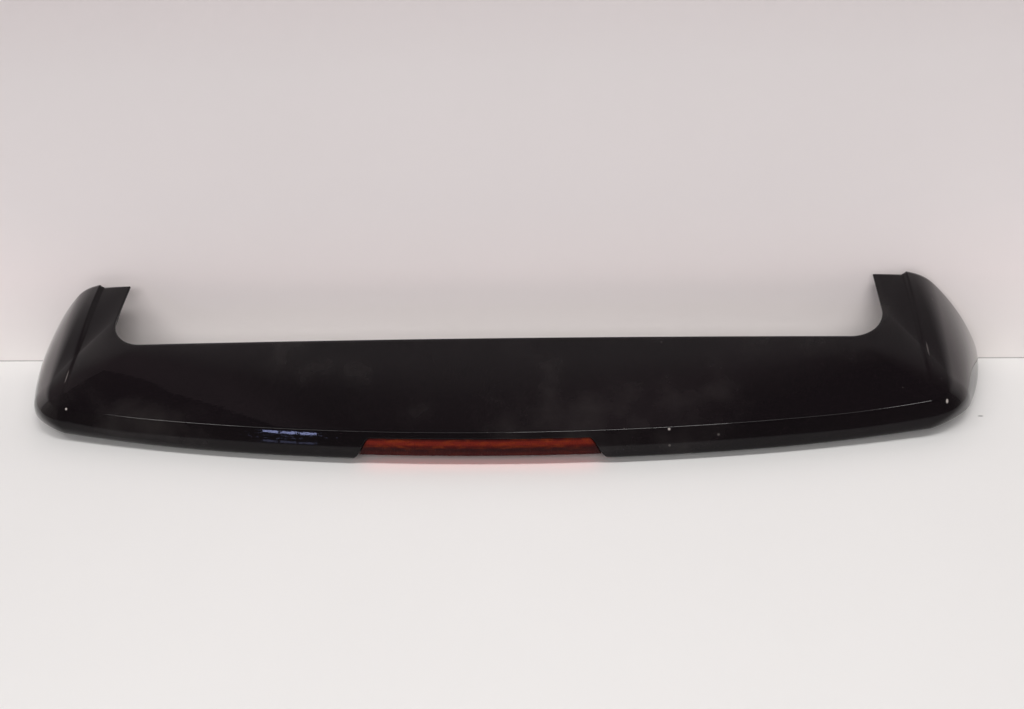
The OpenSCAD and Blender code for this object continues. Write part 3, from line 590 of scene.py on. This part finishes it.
# Marks that the photo shows, in a pale colour: two painted highlights (glints on the rear corners), three pale
# spots on the rear face and two scratches. Place and radius in millimetres, strength, and how much shorter than
# the radius the mark is along each axis
ROUND = (1, 1, 1)
MARKS_AND_GLINTS = [
    # painted highlight: a glint on the right rear corner
    ((530.7, -52.8, 42.8), 3.0, 1.0, (1.4, 0.7, 1)),
    # painted highlight: a glint on the left rear corner
    ((-504.8, -60.7, 45.3), 2.0, 1.0, ROUND),
    ((214.4, -105.8, 40.5), 2.0, 0.8, ROUND),
    ((214.9, -111.5, 22.6), 2.0, 0.15, ROUND),
    ((269.6, -103.2, 31.4), 2.0, 0.15, ROUND),
    ((-516.4, -19.8, 67.4), 0.9, 0.3, (1, 0.06, 0.12)),
    ((520.0, 6.9, 78.9), 1.1, 0.15, (1, 0.08, 0.15)),
]

upper_shell = build_upper_shell()
upper_shell.data.materials.append(gloss_paint())
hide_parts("upper_shell")
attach(upper_shell, "root")

grained = grained_plastic("grained_black_plastic", (0.014, 0.014, 0.015), 0.5, 1100, 0.00012)
for name in ("lower_shell", "wing_cover_left", "wing_cover_right", "end_cap_left", "end_cap_right"):
    give(name, grained)
adhesive = plain_plastic("adhesive", (0.07, 0.07, 0.075), 0.5, 200)
for name in ("bond_bead_front", "bond_bead_left", "bond_bead_right", "bond_bead_rear"):
    give(name, adhesive)
foam = plain_plastic("foam", (0.02, 0.02, 0.022), 0.95, 1800, 0.0004)
for name in ("edge_seal", "stop_lamp_seal", "stud_washers"):
    give(name, foam)
give("stop_lamp_lens", red_lens())
give("stop_lamp_housing", plain_plastic("housing_plastic", (0.02, 0.02, 0.022), 0.4))
give("stop_lamp_reflector", metal("bright_coating", (0.8, 0.8, 0.82), 0.12))
give("stop_lamp_board", plain_plastic("solder_resist", (0.02, 0.16, 0.06), 0.35, 400))
give("stop_lamp_leds", plain_plastic("led_resin", (0.7, 0.66, 0.5), 0.2))
give("stop_lamp_resistors", plain_plastic("resistor_black", (0.02, 0.02, 0.02), 0.4))
give("stop_lamp_contacts", metal("contact_brass", (0.75, 0.55, 0.25), 0.25))
give("stop_lamp_vent", plain_plastic("vent_membrane", (0.75, 0.75, 0.73), 0.8))
zinc = metal("zinc_plating", (0.6, 0.61, 0.63), 0.35)
for name in ("mounting_studs", "stop_lamp_screws"):
    give(name, zinc)
give("retaining_clips", plain_plastic("clip_nylon", (0.72, 0.69, 0.6), 0.45))
rubber = plain_plastic("rubber", (0.015, 0.015, 0.015), 0.7, 700, 0.0001)
for name in ("buffer_left", "buffer_right"):
    give(name, rubber)


# Floor and wall, the same to the camera and in the gloss of the paint

WALL_Y = 251.5
WALL_TURN = -0.0155
WALL_HEIGHT = 1.5
STAGE_HALF = 3.0
FLOOR_COLOUR = (0.85, 0.845, 0.84)
WALL_COLOUR = (0.90, 0.868, 0.863)
# The wall's tone against its height in metres, with painted light and shade: paler near its foot, and fading dark
# above what the camera sees
WALL_SHADES = [(0.0, (0.94, 0.93, 0.92)), (0.125, (0.94, 0.895, 0.90)), (0.22, (0.865, 0.84, 0.85)),
               (0.39, (0.785, 0.766, 0.775)), (0.48, (0.72, 0.69, 0.70)), (0.75, (0.30, 0.265, 0.275)),
               (1.1, (0.17, 0.14, 0.15)), (1.5, (0.14, 0.115, 0.125))]
# Two painted patches of light high on the wall, which the paint's gloss shows, and a painted shadow line along its
# foot
PATCH_COLOUR = (0.58, 0.47, 0.52)
PATCH_LOW, PATCH_HIGH = 0.5, 0.8
PATCH_X, PATCH_CORE, PATCH_REACH = 0.23, 0.03, 0.3
LEFT_PATCH_FROM, LEFT_PATCH_TO = -0.42, -0.75
FOOT_SHADOW_LOW, FOOT_SHADOW_HIGH, FOOT_SHADOW_TONE = 0.0008, 0.0022, 0.55
# The floor's painted shade against the distance in front of the object in metres
FLOOR_FADE = (0.5, 1.5, 0.42)


def stage_material(name, colour):
    material, tree, shader = new_material(name)
    tint = ramp(tree, noise(tree, 3, 4), [(0.3, tuple(c * 0.985 for c in colour)), (0.7, colour)])
    shader.inputs["Roughness"].default_value = 0.7
    shader.inputs["Specular IOR Level"].default_value = 0.1
    return material, tree, shader, tint


def floor_material():
    """Pale, with one dark speck beside the right corner, and greyer far in front with painted shade."""
    material, tree, shader, tint = stage_material("floor_white", FLOOR_COLOUR)
    speck = calc(tree, "MULTIPLY", near_point(tree, (584.7, -15.8, 0), 3.0, (0.7, 1.8, 1)), 0.75)
    tint = blend_colours(tree, speck, tint, (0.06, 0.06, 0.06))
    # painted shade: the floor turns greyer far in front
    near, far, shade = FLOOR_FADE
    fade = span(tree, calc(tree, "MULTIPLY", axes(tree)[1], -1.0), near, far, 1.0, shade)
    tint = blend_colours(tree, fade, (0.0, 0.0, 0.0), tint)
    tree.links.new(tint, shader.inputs["Base Color"])
    return material


def wall_material():
    """Seen from behind, the wall is clear."""
    material, tree, shader, tint = stage_material("wall_white", WALL_COLOUR)
    x, y, z = axes(tree)
    shades = [(high / WALL_HEIGHT, shade) for high, shade in WALL_SHADES]
    # painted light and shade by height: paler near the foot, darker high up
    shade = ramp(tree, calc(tree, "DIVIDE", z, WALL_HEIGHT), shades)
    # painted light: two pale patches high on the wall
    away = calc(tree, "ABSOLUTE", calc(tree, "SUBTRACT", x, PATCH_X))
    patch = calc(tree, "ADD", span(tree, away, PATCH_CORE, PATCH_REACH, 0.5, 0.0),
                 span(tree, calc(tree, "MULTIPLY", x, -1.0), -LEFT_PATCH_FROM, -LEFT_PATCH_TO, 0.0, 0.6))
    patch = calc(tree, "MULTIPLY", patch, span(tree, z, PATCH_LOW, PATCH_HIGH))
    shade = blend_colours(tree, patch, shade, PATCH_COLOUR)
    # painted shadow: a thin dark line along the wall's foot
    shade = blend_colours(tree, span(tree, z, FOOT_SHADOW_LOW, FOOT_SHADOW_HIGH, FOOT_SHADOW_TONE, 1.0), (0.0, 0.0, 0.0), shade)
    tint = blend_colours(tree, 1.0, tint, shade, "MULTIPLY")
    tree.links.new(tint, shader.inputs["Base Color"])
    clear = add(tree, "ShaderNodeBsdfTransparent")
    mix = add(tree, "ShaderNodeMixShader")
    side = add(tree, "ShaderNodeNewGeometry")
    tree.links.new(side.outputs["Backfacing"], mix.inputs[0])
    tree.links.new(shader.outputs[0], mix.inputs[1])
    tree.links.new(clear.outputs[0], mix.inputs[2])
    tree.links.new(mix.outputs[0], tree.nodes["Material Output"].inputs["Surface"])
    return material


def wall_y(x):
    return (WALL_Y - MID_Y) * MM + WALL_TURN * x


floor = mesh_object("floor", [(-STAGE_HALF, -STAGE_HALF, 0), (STAGE_HALF, -STAGE_HALF, 0),
                              (STAGE_HALF, STAGE_HALF, 0), (-STAGE_HALF, STAGE_HALF, 0)], [(0, 1, 2, 3)], False)
floor.data.materials.append(floor_material())
wall = mesh_object("wall", [(-STAGE_HALF, wall_y(-STAGE_HALF), 0), (STAGE_HALF, wall_y(STAGE_HALF), 0),
                            (STAGE_HALF, wall_y(STAGE_HALF), WALL_HEIGHT),
                            (-STAGE_HALF, wall_y(-STAGE_HALF), WALL_HEIGHT)], [(0, 1, 2, 3)], False)
wall.data.materials.append(wall_material())


# Light: a row of strips nearly overhead, a broad fill from the front, and a weak sky

def soft_lamp(name, place, target, size, radiance, colour=(1, 1, 1), glossy=True):
    lamp = bpy.data.lights.new(name, "AREA")
    lamp.shape = "RECTANGLE"
    lamp.size, lamp.size_y = size
    lamp.energy = radiance * math.pi * size[0] * size[1]
    lamp.color = colour
    holder = bpy.data.objects.new(name, lamp)
    bpy.context.scene.collection.objects.link(holder)
    holder.location = place
    holder.rotation_euler = (Vector(target) - Vector(place)).to_track_quat("-Z", "Y").to_euler()
    holder.visible_camera = False
    holder.visible_glossy = glossy
    return holder


# Far window: bearing from +Y, distance in metres, size and pitch of a pane, and rise and
# radiance of its two rows
WINDOW_BEARING = math.radians(207.1)
WINDOW_FAR = 8.0
PANE_SIZE = (0.25, 0.19)
PANE_PITCH = 0.037
WINDOW_ROWS = ((0.095, 20.0), (0.02, 2.6))
STRIP_Y, STRIP_HEIGHT, STRIP_DEPTH = -1.1, 2.5, 0.35
# Strips from left to right: where each begins, and its radiance
STRIPS = ((-2.35, 14.5), (-1.65, 6.5), (-0.95, 4.2), (-0.12, 18.0), (0.97, 5.4), (1.25, 3.5), (1.70, 16.0))
STRIPS_END = 1.95
for (left, radiance), right in zip(STRIPS, [begin for begin, _ in STRIPS[1:]] + [STRIPS_END]):
    middle = (left + right) / 2
    place = (middle, STRIP_Y, STRIP_HEIGHT)
    soft_lamp("strip", place, (middle, -0.12, 0), (right - left, STRIP_DEPTH), radiance, (1, 0.985, 0.97))
soft_lamp("front_fill", (-0.1, -2.7, 1.65), (0, 0, 0), (2.6, 1.0), 4.6, (1, 0.98, 0.97), False)
# a far window with three panes, which shows only in the gloss
for rise, radiance in WINDOW_ROWS:
    for pane in (-1, 0, 1):
        bearing = WINDOW_BEARING + pane * PANE_PITCH
        place = Vector((math.sin(bearing), math.cos(bearing), rise)) * WINDOW_FAR
        soft_lamp("window", place, (0, 0, 0), PANE_SIZE, radiance, (0.5, 0.56, 1.0))
# light that passes through the lens tints the floor below it
soft_lamp("lens_glow", (0, -0.1165, 0.0152), (0, -0.1165, 0), (0.27, 0.006), 1.1, (1, 0.12, 0.1), False)


def studio_world():
    """A pale room that the camera, gloss and glass see alike, and even light for matt surfaces."""
    world = bpy.data.worlds.new("room")
    world.use_nodes = True
    bpy.context.scene.world = world
    tree = world.node_tree
    x, y, z = axes(tree, "Generated")
    sky = ramp(tree, z, [(0.0, (0.50, 0.45, 0.43)), (0.1, (0.40, 0.36, 0.35)), (0.28, (0.24, 0.205, 0.21)),
                         (0.55, (0.18, 0.148, 0.16)), (1.0, (0.18, 0.145, 0.16))])
    sides = ramp(tree, span(tree, y, -1.0, 1.0), [(0.0, 0.32), (0.2, 0.34), (0.5, 0.8), (0.65, 1.0)])
    room = blend_colours(tree, 1.0, sky, sides, "MULTIPLY")
    path = add(tree, "ShaderNodeLightPath")
    seen = calc(tree, "MAXIMUM", path.outputs["Is Camera Ray"], path.outputs["Is Transmission Ray"])
    seen = calc(tree, "MAXIMUM", seen, path.outputs["Is Glossy Ray"])
    tree.links.new(blend_colours(tree, seen, AMBIENT, room), tree.nodes["Background"].inputs["Color"])


AMBIENT = (0.17, 0.166, 0.162)
studio_world()

CAMERA_PLACE = (141.8, -1045.2, 700.3)
CAMERA_YAW = 5.37
CAMERA_PITCH = 28
CAMERA_ROLL = -3.16
FOCAL_PIXELS = 1100
IMAGE_WIDTH = 1024


def make_camera():
    yaw, pitch, roll = (math.radians(a) for a in (CAMERA_YAW, CAMERA_PITCH, CAMERA_ROLL))
    forward = Vector((-math.sin(yaw) * math.cos(pitch), math.cos(yaw) * math.cos(pitch), -math.sin(pitch)))
    level = Vector((math.cos(yaw), math.sin(yaw), 0))
    upward = level.cross(forward)
    right = math.cos(roll) * level + math.sin(roll) * upward
    up = -math.sin(roll) * level + math.cos(roll) * upward
    data = bpy.data.cameras.new("camera")
    data.sensor_width = 36
    data.lens = FOCAL_PIXELS / IMAGE_WIDTH * data.sensor_width
    camera = bpy.data.objects.new("camera", data)
    bpy.context.scene.collection.objects.link(camera)
    camera.matrix_world = Matrix.Translation(placed(np.array(CAMERA_PLACE))) @ Matrix((right, up, -forward)).transposed().to_4x4()
    bpy.context.scene.camera = camera


make_camera()
bpy.context.scene.view_settings.view_transform = "Standard"
